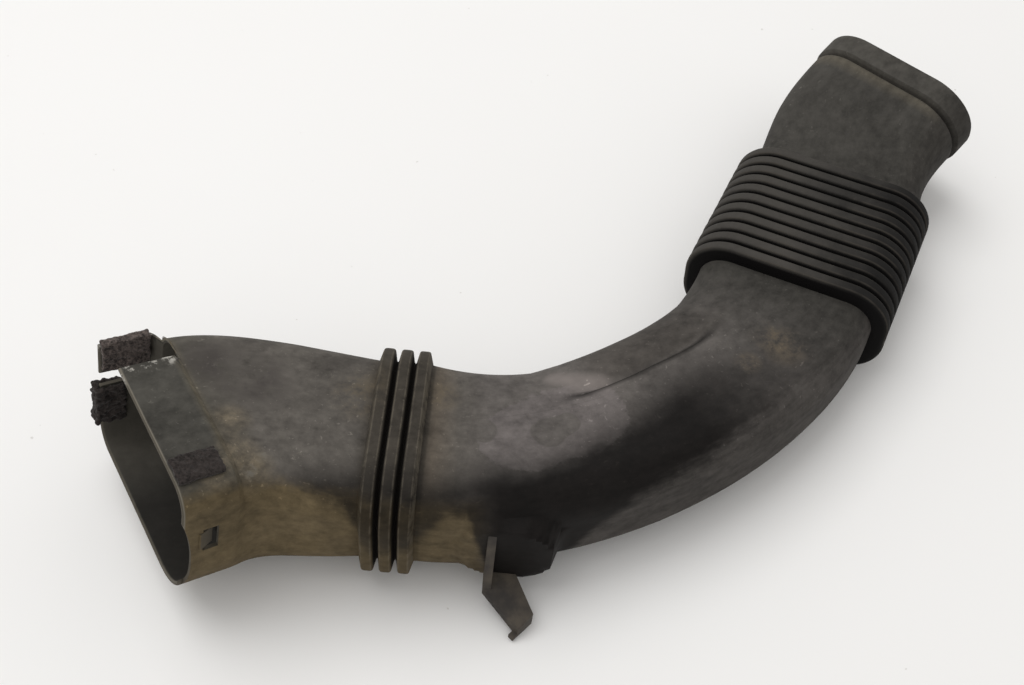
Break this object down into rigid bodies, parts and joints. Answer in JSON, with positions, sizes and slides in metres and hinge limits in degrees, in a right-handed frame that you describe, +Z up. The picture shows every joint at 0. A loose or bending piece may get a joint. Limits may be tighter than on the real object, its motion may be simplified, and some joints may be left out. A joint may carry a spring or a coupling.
{
  "type": "engine intake air duct",
  "caption": "Blow-moulded intake air duct: broad inlet collar, flexible rings, flattened bend, long bellows and oval outlet collar, with a welded bracket and felt pads.",
  "frame": {"origin": "bottom centre of the bounding box of the part as it lies on a table", "axes": "+X along the inlet leg from the inlet towards the bellows, +Z up from the table, +Y away from the bracket's side"},
  "size_m": [0.4714, 0.361, 0.099],
  "materials": {
    "duct_plastic": "charcoal polypropylene, dusty and stained",
    "bellows_plastic": "black thermoplastic elastomer, matt, dark in its grooves",
    "bracket_plastic": "charcoal polypropylene, dusty",
    "felt": "black needled felt"
  },
  "bodies": {
    "root": {"inlet_duct": "duct_plastic", "bend_front": "duct_plastic", "bend_back": "duct_plastic", "bellows_front": "bellows_plastic", "bellows_back": "bellows_plastic", "outlet_duct": "duct_plastic", "bracket": "bracket_plastic", "shoulder_felt": "felt", "edge_felt": "felt", "corner_felt": "felt"}
  },
  "joints": []
}
